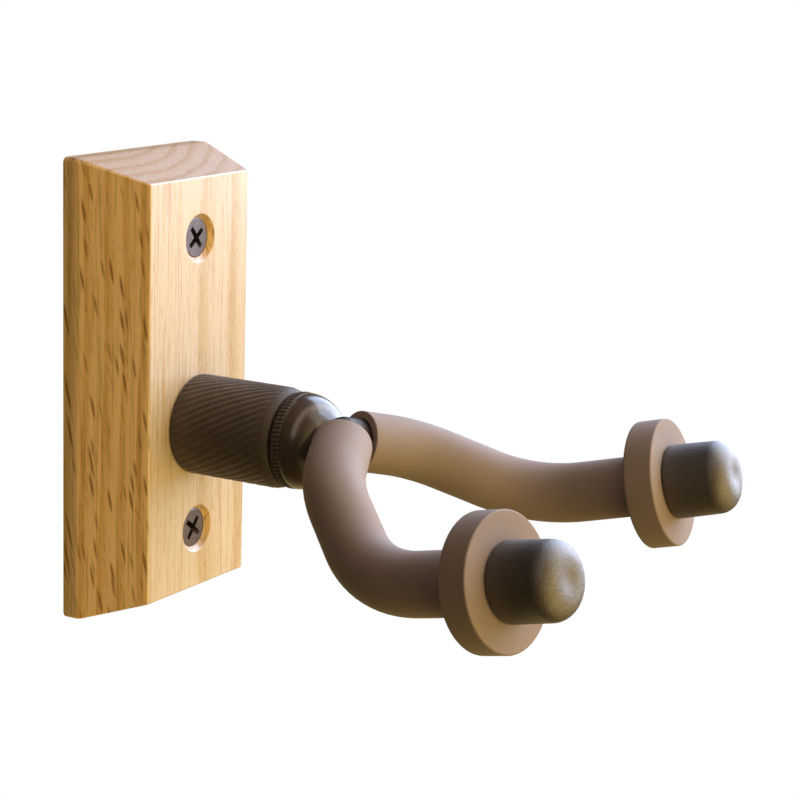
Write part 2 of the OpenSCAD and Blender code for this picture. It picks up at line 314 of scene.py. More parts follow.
class Nodes:
    """Builds a node tree. Wherever a value is asked for, a number or a socket will do."""

    def __init__(self, tree):
        self.tree = tree

    def put(self, socket, value):
        """Links or sets one input socket."""
        if isinstance(value, bpy.types.NodeSocket):
            self.tree.links.new(value, socket)
        else:
            socket.default_value = value

    def add(self, kind, out=0, settings=None, **inputs):
        """Adds a node and returns one of its outputs."""
        node = self.tree.nodes.new("ShaderNode" + kind)
        for key, value in (settings or {}).items():
            setattr(node, key, value)
        for key, value in inputs.items():
            self.put(node.inputs[key.replace("_", " ")], value)
        return node.outputs[out]

    def math(self, operation, *values, clamp=False):
        """Math node."""
        node = self.tree.nodes.new("ShaderNodeMath")
        node.operation, node.use_clamp = operation, clamp
        for socket, value in zip(node.inputs, values):
            self.put(socket, value)
        return node.outputs[0]

    def vector(self, operation, *values, out=0):
        """Vector Math node."""
        node = self.tree.nodes.new("ShaderNodeVectorMath")
        node.operation = operation
        for socket, value in zip(node.inputs, values):
            self.put(socket, value)
        return node.outputs[out]

    def range(self, value, low, high, to_low=0.0, to_high=1.0):
        """Maps a value smoothly from one range to another, clamped at both ends."""
        return self.add("MapRange", settings={"interpolation_type": "SMOOTHSTEP"}, Value=value,
                        From_Min=low, From_Max=high, To_Min=to_low, To_Max=to_high)

    def mix_shaders(self, factor, first, second):
        """Mix Shader node."""
        node = self.tree.nodes.new("ShaderNodeMixShader")
        for socket, value in zip(node.inputs, (factor, first, second)):
            self.put(socket, value)
        return node.outputs[0]

    def show(self, kind, shader):
        """Makes a shader the tree's output."""
        self.put(self.tree.nodes.new("ShaderNodeOutput" + kind).inputs[0], shader)


class Finish(Nodes):
    """Builds one material. Its coordinates are millimetres in the shared frame, at rest."""

    def __init__(self, name, **sockets):
        self.material = bpy.data.materials.new(name)
        self.material.use_nodes = True
        super().__init__(self.material.node_tree)
        self.shader = self.tree.nodes["Principled BSDF"]
        for socket, value in sockets.items():
            self.shader.inputs[socket.replace("_", " ")].default_value = value
        self.place = self.vector("MULTIPLY", self.add("TexCoord", out="Object"), (1 / MM,) * 3)

    def noise(self, size, detail=3, roughness=0.5, stretch=(1, 1, 1), at=None):
        """Noise of a given size in millimetres, drawn out along an axis by stretch."""
        scaled = self.vector("DIVIDE", at or self.place, stretch)
        return self.add("TexNoise", Vector=scaled, Scale=1 / size, Detail=detail,
                        Roughness=roughness)

    def cells(self, size, at=None, out="Distance"):
        """Voronoi cells of a given size in millimetres along each axis."""
        scaled = self.vector("DIVIDE", at or self.place, size)
        return self.add("TexVoronoi", out=out, Vector=scaled, Scale=1.0)

    def blend(self, factor, a, b, mode="MIX"):
        """Mixes two colours."""
        node = self.tree.nodes.new("ShaderNodeMix")
        node.data_type, node.blend_type = "RGBA", mode
        self.put(node.inputs["Factor"], factor)
        self.put(node.inputs[6], a)
        self.put(node.inputs[7], b)
        return node.outputs[2]

    def colour(self, value):
        """Sets the base colour."""
        self.put(self.shader.inputs["Base Color"], value)

    def rough(self, value):
        """Sets the roughness."""
        self.put(self.shader.inputs["Roughness"], value)

    def bump(self, height, depth, strength=1.0):
        """Adds a bump whose full height is depth in millimetres."""
        normal = self.shader.inputs["Normal"]
        before = normal.links[0].from_socket if normal.links else None
        extra = {"Normal": before} if before else {}
        self.put(normal, self.add("Bump", Height=height, Distance=depth * MM,
                                  Strength=strength, **extra))


def rgb(r, g, b):
    """Opaque linear colour."""
    return (r, g, b, 1.0)


def oak():
    """Lacquered red oak: growth rings round a pith behind the block, long pores and rays."""
    f = Finish("oak", Coat_Weight=0.45, Coat_Roughness=0.26, Coat_IOR=1.5, Specular_IOR_Level=0.55)

    # Growth rings, wavering along the grain
    pith_x, pith_y, ring_width = -13.0, 40.0, 3.8
    waver = f.math("SUBTRACT", f.noise(34, 2, 0.5, (1, 1, 3.2)), 0.5)
    ripple = f.math("SUBTRACT", f.noise(7, 2, 0.5, (1, 1, 6)), 0.5)
    flat = f.vector("MULTIPLY", f.vector("SUBTRACT", f.place, (pith_x, pith_y, 0)), (1, 1, 0))
    out = f.vector("LENGTH", flat, out="Value")
    wavered = f.math("ADD", out, f.math("MULTIPLY", waver, 6.0))
    wavered = f.math("ADD", wavered, f.math("MULTIPLY", ripple, 1.0))
    phase = f.math("FRACT", f.math("DIVIDE", wavered, ring_width))
    rise = f.range(phase, 0.0, 0.10)
    fall = f.range(phase, 0.18, 0.62, 1.0, 0.0)
    early = f.math("MULTIPLY", rise, fall)

    # Fibres, fine dark lines, streaks and clouds
    fibre = f.noise(0.42, 3, 0.65, (1, 1, 30))
    lines = f.range(f.noise(0.55, 3, 0.7, (1, 1, 46)), 0.50, 0.64)
    streak = f.noise(1.7, 2, 0.5, (1, 1, 18))
    cloud = f.noise(16, 2, 0.5, (1, 1, 2.5))

    # Pores in the early wood, and ray flecks; both lean away from the upright
    height, leaning = f.add("SeparateXYZ", out="Z", Vector=f.place), -0.22
    lean = f.vector("ADD", f.place, f.add(
        "CombineXYZ", X=0.0, Y=f.math("MULTIPLY", height, leaning), Z=0.0))
    pore_place = f.vector("ADD", lean, f.vector(
        "MULTIPLY", f.add("CombineXYZ", X=ripple, Y=ripple, Z=0.0), (1.2, 1.2, 0)))
    pores = f.math("MULTIPLY", f.range(f.cells((0.5, 0.5, 7.0), pore_place), 0.12, 0.36, 1.0, 0.0),
                   f.range(early, 0.0, 0.7, 0.3, 1.0))
    ray_size = (0.8, 1.35, 15.0)
    ray_pick = f.add("SeparateColor", out="Red", Color=f.cells(ray_size, lean, "Color"))
    rays = f.math("MULTIPLY", f.range(f.cells(ray_size, lean), 0.14, 0.40, 1.0, 0.0),
                  f.range(ray_pick, 0.12, 0.36))
    normal = f.add("NewGeometry", out="Normal")
    facing = f.vector("ABSOLUTE", normal)
    side_grain = f.range(f.add("SeparateXYZ", out="X", Vector=facing), 0.2, 0.8)
    end_grain = f.range(f.add("SeparateXYZ", out="Z", Vector=facing), 0.3, 0.8)
    rays = f.math("MULTIPLY", rays, f.range(side_grain, 0.0, 1.0, 0.3, 1.0))

    # Colour, with painted light on the left side face (brighter and yellower), painted shade on
    # the right side face (a little darker and yellower), and a tint for the end grain
    tone = f.math("ADD", f.math("MULTIPLY", early, 0.40), f.math("MULTIPLY", fibre, 0.40))
    tone = f.math("ADD", tone, f.math("MULTIPLY", streak, 0.24))
    tone = f.math("ADD", tone, f.math("MULTIPLY", cloud, 0.18), clamp=True)
    base = f.add("ValToRGB", Fac=tone)
    ramp = base.node.color_ramp
    ramp.elements[0].position, ramp.elements[0].color = 0.12, rgb(0.60, 0.505, 0.40)
    ramp.elements[1].position, ramp.elements[1].color = 0.95, rgb(0.45, 0.31, 0.15)
    middle = ramp.elements.new(0.55)
    middle.color = rgb(0.545, 0.425, 0.29)
    sideways = f.add("SeparateXYZ", out="X", Vector=normal)
    painted_light_left = f.range(sideways, -0.8, -0.2, 1.0, 0.0)
    painted_shade_right = f.range(sideways, 0.2, 0.8)
    # Painted light: the left side face is made brighter and yellower
    tinted = f.blend(painted_light_left, base, rgb(1.47, 1.27, 0.84), "MULTIPLY")
    # Painted shade: the right side face is made a little darker and yellower
    tinted = f.blend(painted_shade_right, tinted, rgb(1.02, 0.90, 0.76), "MULTIPLY")
    tinted = f.blend(end_grain, tinted, rgb(0.99, 0.92, 0.99), "MULTIPLY")
    dark = f.blend(f.math("MULTIPLY", lines, 0.62), tinted, rgb(0.40, 0.23, 0.085))
    dark = f.blend(f.math("MULTIPLY", pores, 0.45), dark, rgb(0.30, 0.15, 0.035))
    dark = f.blend(f.math("MULTIPLY", rays, 0.78), dark, rgb(0.25, 0.10, 0.017))
    f.colour(dark)
    f.rough(f.range(fibre, 0.3, 0.7, 0.34, 0.46))
    f.bump(f.math("MULTIPLY", f.math("ADD", pores, rays), -1.0), 0.05, 0.5)
    f.bump(fibre, 0.03, 0.35)
    return f.material


def taupe_rubber():
    """Matt extruded rubber with faint mould bloom and fine dust."""
    f = Finish("taupe_rubber", Specular_IOR_Level=0.3, Sheen_Weight=0.06, Sheen_Roughness=0.5)
    bloom = f.noise(14, 3, 0.6)
    grain = f.noise(0.35, 2, 0.6)
    specks = f.range(f.cells((1.7, 1.7, 1.7)), 0.03, 0.09, 1.0, 0.0)
    tone = f.math("ADD", f.math("MULTIPLY", bloom, 0.7), f.math("MULTIPLY", grain, 0.3))
    base = f.blend(f.range(tone, 0.3, 0.7), rgb(0.225, 0.169, 0.142), rgb(0.265, 0.201, 0.170))
    f.colour(f.blend(f.math("MULTIPLY", specks, 0.25), base, rgb(0.5, 0.42, 0.36)))
    f.rough(f.range(bloom, 0.3, 0.7, 0.62, 0.78))
    f.bump(grain, 0.02, 0.5)
    f.bump(bloom, 0.10, 0.2)
    return f.material


def knurled_black():
    """Satin black of the barrel, its coating rubbed thin on the crests of the knurl."""
    f = Finish("barrel_black", Specular_IOR_Level=0.36)
    offset = f.vector("MULTIPLY", f.vector("SUBTRACT", f.place, (0, 0, HUB_Z)), (1, 0, 1))
    worn = 0.3
    crest = f.range(f.vector("LENGTH", offset, out="Value"), BARREL_R - worn, BARREL_R)
    rub = f.math("MULTIPLY", crest, f.range(f.noise(3.5, 3, 0.6), 0.35, 0.7, 0.25, 1.0))
    mottle = f.noise(0.7, 2, 0.6)
    base = f.blend(mottle, rgb(0.056, 0.041, 0.034), rgb(0.080, 0.060, 0.049))
    f.colour(f.blend(f.math("MULTIPLY", rub, 0.6), base, rgb(0.108, 0.084, 0.070)))
    f.rough(f.range(rub, 0.0, 1.0, 0.6, 0.42))
    f.bump(mottle, 0.01, 0.3)
    return f.material


def head_black():
    """Satin black under a thin coat, with faint turning rings and a duller toothed band."""
    f = Finish("head_black", Coat_Weight=0.15, Coat_Roughness=0.1, Specular_IOR_Level=0.36)
    haze = f.noise(2.2, 3, 0.6)
    distance = f.add("SeparateXYZ", out="Y", Vector=f.place)
    band_end, fade, ring_rate = NOSE_ROUND - NOSE_END, 0.3, 14.0
    band = f.range(distance, band_end - fade, band_end + fade)
    base = f.blend(haze, rgb(0.058, 0.042, 0.033), rgb(0.074, 0.054, 0.043))
    f.colour(f.blend(f.math("MULTIPLY", band, 0.6), base, rgb(0.078, 0.057, 0.045)))
    f.rough(f.math("ADD", f.range(haze, 0.3, 0.7, 0.18, 0.26), f.math("MULTIPLY", band, 0.35)))
    f.bump(f.math("SINE", f.math("MULTIPLY", distance, ring_rate)), 0.002, 0.2)
    return f.material


def cap_vinyl():
    """Satin moulded vinyl with a fine speckle, and a painted highlight that makes the end paler;
    the end faces -Y in every pose.
    """
    f = Finish("cap_black", Coat_Weight=0.55, Coat_Roughness=0.52, Coat_IOR=1.6,
               Specular_IOR_Level=0.85, Specular_Tint=rgb(1.0, 0.94, 0.90))
    speckle = f.noise(0.42, 3, 0.7)
    cloud = f.noise(5, 2, 0.5)
    base = f.blend(f.range(speckle, 0.35, 0.65), rgb(0.020, 0.015, 0.012),
                   rgb(0.050, 0.040, 0.034))
    # Painted highlight: where the surface faces -Y, the speckle is lifted to a pale violet-grey
    faced = f.add("SeparateXYZ", out="Y", Vector=f.add("NewGeometry", out="Normal"))
    end = f.math("MULTIPLY", f.range(faced, -0.9, -0.4, 1.0, 0.0), f.range(speckle, 0.3, 0.7))
    f.colour(f.blend(end, base, rgb(0.12, 0.108, 0.108)))
    f.rough(f.range(f.math("ADD", f.math("MULTIPLY", speckle, 0.6),
                           f.math("MULTIPLY", cloud, 0.4)), 0.35, 0.65, 0.46, 0.62))
    f.bump(speckle, 0.12, 0.9)
    return f.material


def metal(name, light, dark, rough, brushed=(1, 1, 1), size=0.5, depth=0.004):
    """Metal with a grain drawn out along an axis and some tarnish."""
    f = Finish(name, Metallic=1.0)
    grain = f.noise(size, 3, 0.6, brushed)
    tarnish = f.noise(6, 3, 0.6)
    tone = f.math("ADD", f.math("MULTIPLY", grain, 0.6), f.math("MULTIPLY", tarnish, 0.4))
    f.colour(f.blend(f.range(tone, 0.3, 0.7), rgb(*dark), rgb(*light)))
    f.rough(f.range(tone, 0.3, 0.7, rough + 0.1, rough - 0.05))
    f.bump(grain, depth, 0.5)
    return f.material


def acetal():
    """Natural acetal of the thrust washer."""
    f = Finish("acetal", Subsurface_Weight=0.1, Specular_IOR_Level=0.5)
    cloud = f.noise(1.8, 3, 0.5)
    f.colour(f.blend(cloud, rgb(0.72, 0.70, 0.64), rgb(0.82, 0.80, 0.75)))
    f.rough(f.range(cloud, 0.3, 0.7, 0.38, 0.5))
    return f.material


MATERIALS = {
    "oak": oak(),
    "taupe_rubber": taupe_rubber(),
    "barrel_black": knurled_black(),
    "head_black": head_black(),
    "cap_black": cap_vinyl(),
    "screw_black": metal("screw_black", (0.17, 0.145, 0.155), (0.095, 0.08, 0.085), 0.42),
    "zinc_steel": metal("zinc_steel", (0.70, 0.70, 0.68), (0.50, 0.50, 0.50), 0.32),
    "stem_steel": metal("stem_steel", (0.60, 0.59, 0.57), (0.42, 0.41, 0.40), 0.25, (1, 0.15, 1)),
    "rod_steel": metal("rod_steel", (0.075, 0.060, 0.050), (0.040, 0.032, 0.027), 0.5),
    "bronze": metal("bronze", (0.12, 0.085, 0.055), (0.07, 0.048, 0.032), 0.5, size=0.25),
    "acetal": acetal(),
}


# ---------------------------------------------------------------- wood block and wall screws

def block_outline(half_w, half_h, corner, distance, steps=6):
    """Rounded rectangle at a distance from the wall."""
    points = rounded([(half_w, half_h, corner), (-half_w, half_h, corner),
                      (-half_w, -half_h, corner), (half_w, -half_h, corner)], steps)
    return [Vector((x, -distance, z)) for x, z in points]


def block_shell():
    """Loft of the bevelled block; the sanded corners get sharper towards the front face."""
    half_w, half_h = BLOCK_HIGH.x, BLOCK_HIGH.z
    back_corner, side_corner, front_corner, sharpening = 0.8, 1.1, 0.4, 1.6
    back_break, bevel_ease, front_break, front_inset, front_steps = 0.4, 0.5, 0.32, 0.8, 4
    bevel_end = BLOCK_T - front_break

    def bevelled(distance, inset, corner):
        """Outline on the bevel, taken in by an inset."""
        share = (distance - EDGE_LAND) / (BLOCK_T - EDGE_LAND)
        return block_outline(half_w - (half_w - FRONT_W / 2) * share - inset,
                             half_h - (half_h - FRONT_H / 2) * share - inset, corner, distance)

    rings = [block_outline(half_w - back_break, half_h - back_break, back_corner, 0),
             block_outline(half_w, half_h, side_corner, back_break),
             block_outline(half_w, half_h, side_corner, EDGE_LAND - bevel_ease)]
    for distance in (EDGE_LAND + bevel_ease, (EDGE_LAND + bevel_end) / 2, bevel_end):
        share = min(1, (distance - EDGE_LAND) / (BLOCK_T - EDGE_LAND) * sharpening)
        rings.append(bevelled(distance, 0, side_corner + (front_corner - side_corner) * share))
    for k in range(1, front_steps + 1):
        angle = math.pi / 2 * k / front_steps
        rings.append(bevelled(bevel_end + front_break * math.sin(angle),
                              front_break * (1 - math.cos(angle)) * front_inset, front_corner))
    return as_mesh("block", lofted(rings))


def screw_hole(z):
    """Cutter for a screw hole and its countersink, with a softly broken mouth."""
    past, mouth_round, flare, lift, near = 1, 0.35, 0.6, 0.01, 0.001
    sink_foot = BLOCK_T - (SINK_R - SCREW_HOLE_R) / SINK_SLOPE
    outline = rounded([(0, -past, 0), (SCREW_HOLE_R, -past, 0), (SCREW_HOLE_R, sink_foot, 0),
                       (SINK_R, BLOCK_T, mouth_round), (SINK_R + flare, BLOCK_T, 0),
                       (SINK_R + flare, BLOCK_T + past, 0), (0, BLOCK_T + past, 0)],
                      4, closed=False)
    # The flare is lifted off the block's face, so that it doesn't lie in the same plane
    lifted = [(r, h + (lift if h > BLOCK_T - near else 0)) for r, h in outline]
    return as_mesh("hole", turned(lifted, 72, closed=False), from_wall(0, z))


def bolt_pocket():
    """Cutter for the bolt's hole and counterbore in the block's back."""
    past = 1
    outline = [(0, -past), (BOLT_POCKET_R, -past), (BOLT_POCKET_R, BOLT_POCKET_DEPTH),
               (BOLT_HOLE_R, BOLT_POCKET_DEPTH), (BOLT_HOLE_R, BLOCK_T + past),
               (0, BLOCK_T + past)]
    return as_mesh("pocket", turned(outline, 72, closed=False), HUB)


def make_block():
    """Wooden block with its screw holes and the bolt's pocket."""
    screw_zs = [centre_of(node).z for node in ("wall_screw_upper", "wall_screw_lower")]
    mesh = cut(block_shell(), *[screw_hole(z) for z in screw_zs], bolt_pocket())
    piece("oak_block", mesh, MATERIALS["oak"], "oak", "wood_block", sharp=28)


def recess_wing(turn, matrix):
    """Cutter for one slot of the cross recess: wide and long at its mouth, narrow at its floor."""
    floor, mouth, end_share = (-2.4, 1.2, 0.48), (0.6, 3.3, 0.72), 0.8
    rings = []
    for height, reach, half in (floor, mouth):
        end = half * end_share
        rings.append([Vector((x, y, height)) for x, y in (
            (-reach, -end), (0, -half), (reach, -end), (reach, end), (0, half), (-reach, end))])
    return as_mesh("wing", lofted(rings), matrix @ Matrix.Rotation(math.radians(turn), 4, "Z"))


def recess_core(matrix):
    """Cutter for the round middle of the cross recess, which flares the corners of its slots."""
    outline = [(0, -2.7), (0.6, -2.4), (0.95, 0), (1.05, 0.6), (0, 0.6)]
    return as_mesh("core", turned(outline, 24, closed=False), matrix)


def make_wall_screw(name, node, turn):
    """Flat-head wood screw: crowned head, cross recess, plain shank and a coarse thread."""
    point_r, point_h, taper_h, taper_rows = 0.35, 0.4, 5.2, 20
    thread_top, thread_root, thread_rows, pitch, fade = -1.0, 1.65, 160, 2.3, 0.9
    rim_h, crown_w, neck = 0.35, 0.35, 0.5
    taper, thread_low = SCREW_TIP + point_h, SCREW_TIP + point_h + taper_h
    head_t = (SCREW_HEAD_R - SCREW_SHANK_R) / SINK_SLOPE
    outline = [(0, SCREW_TIP), (point_r, taper)]
    outline += [(point_r + (SCREW_THREAD_R - point_r) * math.sin(math.pi / 2 * k / taper_rows),
                 taper + taper_h * k / taper_rows) for k in range(1, taper_rows)]
    outline += [(SCREW_THREAD_R, thread_low + (thread_top - thread_low) * k / thread_rows)
                for k in range(thread_rows + 1)]
    outline += rounded([(SCREW_THREAD_R, thread_top, 0), (SCREW_SHANK_R, thread_top + neck, 0),
                        (SCREW_SHANK_R, SCREW_FACE - head_t, 1.0),
                        (SCREW_HEAD_R, SCREW_FACE - rim_h, 0.12),
                        (SCREW_HEAD_R, SCREW_FACE - 0.1, 0.1),
                        (SCREW_HEAD_R - crown_w, SCREW_FACE, 0.3), (0, SCREW_FACE, 0)],
                       4, closed=False)[1:]
    warp = helix(pitch, thread_root, SCREW_THREAD_R, SCREW_TIP + 0.5, thread_top, fade)
    at = from_wall(0, centre_of(node).z)
    mesh = as_mesh(name, turned(outline, 48, closed=False, warp=warp), at)
    seat = (at @ Matrix.Translation((0, 0, SCREW_FACE))
            @ Matrix.Rotation(math.radians(turn), 4, "Z"))
    mesh = cut(mesh, recess_wing(0, seat), recess_wing(90, seat), recess_core(seat))
    piece(name, mesh, MATERIALS["screw_black"], "screw_black", node)


# ---------------------------------------------------------------- barrel and what it holds

def knurl(radius, angle, height):
    """Diagonal knurl round the barrel. Rows of vertices follow its helix up to the lip, and keep
    the lip's turn from there to the bolt's hole, so that no face is twisted."""
    depth, lead, sharpness = 0.20, math.radians(-29.7), 1.5
    inside, knurl_end = BARREL_R - 0.6, BARREL_FRONT - 1.2
    climb = knurl_end if radius < inside else min(height, knurl_end)
    wave = (1 + math.cos(angle * KNURL_GROOVES)) / 2
    groove = BARREL_R - depth * wave ** sharpness
    return min(radius, groove), angle + math.tan(lead) * climb / BARREL_R


def make_barrel():
    """Knurled barrel: broken foot, rolled-over lip, bore, bolt hole and set screw hole."""
    foot_h, foot_in, rows, steps_per_groove = 0.45, 0.45, 22, 9
    lip_r, lip_h, mouth, edge = BARREL_R - 0.8, 2.5, 0.25, 0.3
    base, front, floor = BLOCK_T, BARREL_FRONT, BLOCK_T + BARREL_BASE
    shoulder, bolt_r = front - lip_h, BOLT_R + 0.025
    outline = [(BARREL_R - foot_in, base), (BARREL_R - 0.1, base + 0.25)]
    outline += [(BARREL_R, base + foot_h + (shoulder - base - foot_h) * k / rows)
                for k in range(rows + 1)]
    outline += rounded([(BARREL_R, shoulder, 0), (BARREL_R - 0.3, shoulder + 1.3, 1.5),
                        (lip_r, front, 0.45), (BEARING_R + mouth, front, 0)],
                       5, closed=False)[1:]
    outline += [(BEARING_R, front - mouth), (BEARING_R, floor), (BOLT_R + edge, floor),
                (bolt_r, floor - edge), (bolt_r, base + edge), (BOLT_R + edge, base)]
    steps = KNURL_GROOVES * steps_per_groove
    mesh = as_mesh("barrel", turned(outline, steps, warp=knurl), HUB)

    hole_start, hole_r, mouth_r, past = 2.5, 2.53, 3.1, 2
    hole = turned([(0, 0), (hole_r, 0), (hole_r, BARREL_R - 3.2), (mouth_r, BARREL_R - 2.4),
                   (mouth_r, BARREL_R + past), (0, BARREL_R + past)], 48, closed=False)
    at = set_screw_place() @ Matrix.Translation((0, 0, hole_start))
    mesh = cut(mesh, as_mesh("hole", hole, at))
    piece("knurled_barrel", mesh, MATERIALS["barrel_black"], "barrel_black", "swivel_barrel")


def make_bolt():
    """Socket cap screw with a knurled head and a 20-per-inch thread."""
    pitch, thread_depth, thread_rows, tip_chamfer, plain = 1.27, 0.7, 180, 0.6, 1
    knurl_depth, knurl_count, socket_r, socket_depth, past = 0.12, 24, 2.9, 2.6, 1
    head_face, tip = span_of("barrel_bolt")
    head_r = width_of("barrel_bolt") / 2
    seat = head_face + BOLT_HEAD_T
    start, end = seat + plain, tip - 0.7
    outline = rounded([(0, head_face, 0), (head_r, head_face, 0.5), (head_r, seat, 0.15),
                       (BOLT_R, seat, 0.3)], 4, closed=False)
    outline += [(BOLT_R, start + (end - start) * k / thread_rows)
                for k in range(thread_rows + 1)]
    outline += [(BOLT_R - tip_chamfer, tip), (0, tip)]
    thread = helix(pitch, BOLT_R - thread_depth, BOLT_R, start, tip, 1.0)

    def warp(radius, angle, height):
        if radius > head_r - 0.05 and head_face + 0.6 < height < seat - 0.3:
            return radius - knurl_depth * abs(math.sin(angle * knurl_count)), angle
        return thread(radius, angle, height)

    mesh = as_mesh("bolt", turned(outline, 96, closed=False, warp=warp), HUB)
    mesh = cut(mesh, hexagon_cutter(socket_r, head_face - past, head_face + socket_depth, HUB))
    piece("barrel_cap_screw", mesh, MATERIALS["zinc_steel"], "zinc_steel", "barrel_bolt")


def ring_outline(inner, outer, low, high, fillet):
    """Closed outline of a ring with rounded edges."""
    return rounded([(inner, low, fillet), (outer, low, fillet),
                    (outer, high, fillet), (inner, high, fillet)], 3)


def make_ring(name, node, inner, outer, fillet, slot):
    """Plain ring that stands for a washer or a bushing."""
    low, high = span_of(node)
    mesh = as_mesh(name, turned(ring_outline(inner, outer, low, high, fillet)), HUB)
    piece(name, mesh, MATERIALS[slot], slot, node)


def make_spring_washer():
    """Split ring with a slanted cut and slightly staggered ends."""
    stagger, gap, middle, slant, steps = 0.12, 8, 30, 6, 90
    low, high = span_of("barrel_lock_washer")
    inner, outer = BOLT_R + 0.1, width_of("barrel_lock_washer") / 2
    section = rounded([(inner, low + stagger, 0.2), (outer, low + stagger, 0.25),
                       (outer, high - stagger, 0.25), (inner, high - stagger, 0.2)], 3)
    rings = []
    for k in range(steps + 1):
        share = k / steps
        turn, shift = middle + gap / 2 + (360 - gap) * share, stagger * (2 * share - 1)
        rings.append([])
        for radius, height in section:
            angle = math.radians(turn + (height - low) / (high - low) * slant)
            rings[-1].append(Vector((radius * math.cos(angle), radius * math.sin(angle),
                                     height + shift)))
    mesh = as_mesh("spring", lofted(rings), HUB)
    piece("spring_washer", mesh, MATERIALS["zinc_steel"], "zinc_steel", "barrel_lock_washer")


def set_screw_place():
    """Matrix on the hub's axis whose z axis points down along the set screw."""
    return (Matrix.Translation((0, -GROOVE_MIDDLE, HUB_Z))
            @ Matrix.Rotation(math.pi, 4, "X"))


def make_set_screw():
    """Set screw in the barrel's underside, whose point runs in the stem's groove."""
    point_r, point_h, chamfer, end_edge, thread_rows = 1.4, 2.1, 0.4, 0.3, 50
    pitch, thread_depth, socket_r, socket_depth, past = 0.8, 0.45, 1.44, 2, 1
    low, high = box_mm("retaining_set_screw")
    inner, outer, radius = HUB_Z - high.z, HUB_Z - low.z, (high.x - low.x) / 2
    body = inner + point_h
    start, end = body + chamfer, outer - end_edge
    outline = rounded([(0, inner, 0), (point_r, inner, 0.25), (point_r, body, 0),
                       (radius - chamfer, body, 0), (radius, start, 0)], 3, closed=False)
    outline += [(radius, start + (end - start) * k / thread_rows)
                for k in range(1, thread_rows + 1)]
    outline += [(radius - end_edge, outer), (0, outer)]
    thread = helix(pitch, radius - thread_depth, radius, body, outer, 0.4)
    at = set_screw_place()
    mesh = as_mesh("grub", turned(outline, 48, closed=False, warp=thread), at)
    mesh = cut(mesh, hexagon_cutter(socket_r, outer - socket_depth, outer + past, at))
    piece("socket_set_screw", mesh, MATERIALS["screw_black"], "screw_black",
          "retaining_set_screw")


def make_bushings():
    """Flanged front bushing and plain rear bushing, both with broken edges."""
    low, high = span_of("front_bushing")
    flange_r = width_of("front_bushing") / 2
    bore, press = STEM_R + RUNNING_GAP, BEARING_R - PRESS_GAP
    outline = rounded([(bore, low, 0.3), (press, low, 0.4), (press, BARREL_FRONT, 0),
                       (flange_r, BARREL_FRONT, 0.1), (flange_r, high, 0.2), (bore, high, 0.3)], 3)
    mesh = as_mesh("front", turned(outline), HUB)
    piece("flanged_bushing", mesh, MATERIALS["bronze"], "bronze", "front_bushing")
    make_ring("plain_bushing", "rear_bushing", bore, press, 0.35, "bronze")


# ---------------------------------------------------------------- yoke

def make_stem():
    """Pivot stem with the groove that the set screw runs in."""
    low, high = GROOVE_MIDDLE - GROOVE_HALF, GROOVE_MIDDLE + GROOVE_HALF
    outline = rounded([(0, STEM_BACK, 0), (STEM_R, STEM_BACK, 0.5), (STEM_R, low, 0.15),
                       (GROOVE_R, low, 0.3), (GROOVE_R, high, 0.3), (STEM_R, high, 0.15),
                       (STEM_R, STEM_FRONT, 0.3), (0, STEM_FRONT, 0)], 4, closed=False)
    mesh = as_mesh("stem", turned(outline, closed=False), YOKE_AXIS)
    piece("swivel_stem", mesh, MATERIALS["stem_steel"], "stem_steel", "pivot_stem")


def teeth(radius, angle, height):
    """Row of small slanted teeth round the head's band."""
    depth, ease, lead, fullness = 0.4, 0.25, math.radians(-12), 0.4
    low, high = HEAD_BACK + TEETH_LOW, HEAD_BACK + TEETH_HIGH
    if radius < HEAD_BAND_R - 0.8 or not HEAD_BACK - 0.1 <= height <= high:
        return radius, angle
    share = max(0, min(1, (height - low) / (high - low)))
    swell = math.sin(math.pi * share) ** fullness
    wave = (1 + math.cos(angle * TEETH)) / 2
    return (radius - ease * (1 - swell) - depth * wave ** 2 * swell,
            angle + math.tan(lead) * (height - low) / HEAD_BAND_R)


def make_head():
    """Swivel head: a toothed band and a rounded nose, saddled for both arms."""
    band_end, flat_r = NOSE_END - NOSE_ROUND, HEAD_BAND_R - NOSE_ROUND - 0.1
    rows, steps_per_tooth, past, into_rod = 14, 6, 1, 22
    outline = [(0, HEAD_BACK), (HEAD_BAND_R - 0.5, HEAD_BACK)]
    outline += [(HEAD_BAND_R, HEAD_BACK + TEETH_LOW + (TEETH_HIGH - TEETH_LOW) * k / rows)
                for k in range(rows + 1)]
    outline += [(HEAD_BAND_R - 0.3, HEAD_BACK + 2.2), (HEAD_BAND_R - 0.1, HEAD_BACK + 2.5)]
    outline += [(flat_r + NOSE_ROUND * math.cos(math.radians(a)),
                 band_end + NOSE_ROUND * math.sin(math.radians(a))) for a in range(6, 91, 6)]
    outline += [(0, NOSE_END)]
    mesh = as_mesh("head", turned(outline, TEETH * steps_per_tooth, closed=False, warp=teeth),
                   YOKE_AXIS)
    press = STEM_R + PRESS_GAP
    stem = turned([(0, HEAD_BACK - past), (press, HEAD_BACK - past), (press, STEM_FRONT),
                   (0, STEM_FRONT)], 64, closed=False)
    cutters = [as_mesh("stem_hole", stem, YOKE_AXIS)]
    bore, saddle = ROD_R + RUNNING_GAP, SLEEVE_R + 0.1
    for left in (False, True):
        start = sleeve_start(left) - 0.3
        arm = turned([(0, -past), (bore, 0), (bore, start), (saddle, start),
                      (saddle, into_rod), (0, into_rod)], 72, closed=False)
        cutters.append(as_mesh("saddle", arm, arm_start(left)))
    piece("nose_head", cut(mesh, *cutters), MATERIALS["head_black"], "head_black",
          "swivel_head", sharp=50)


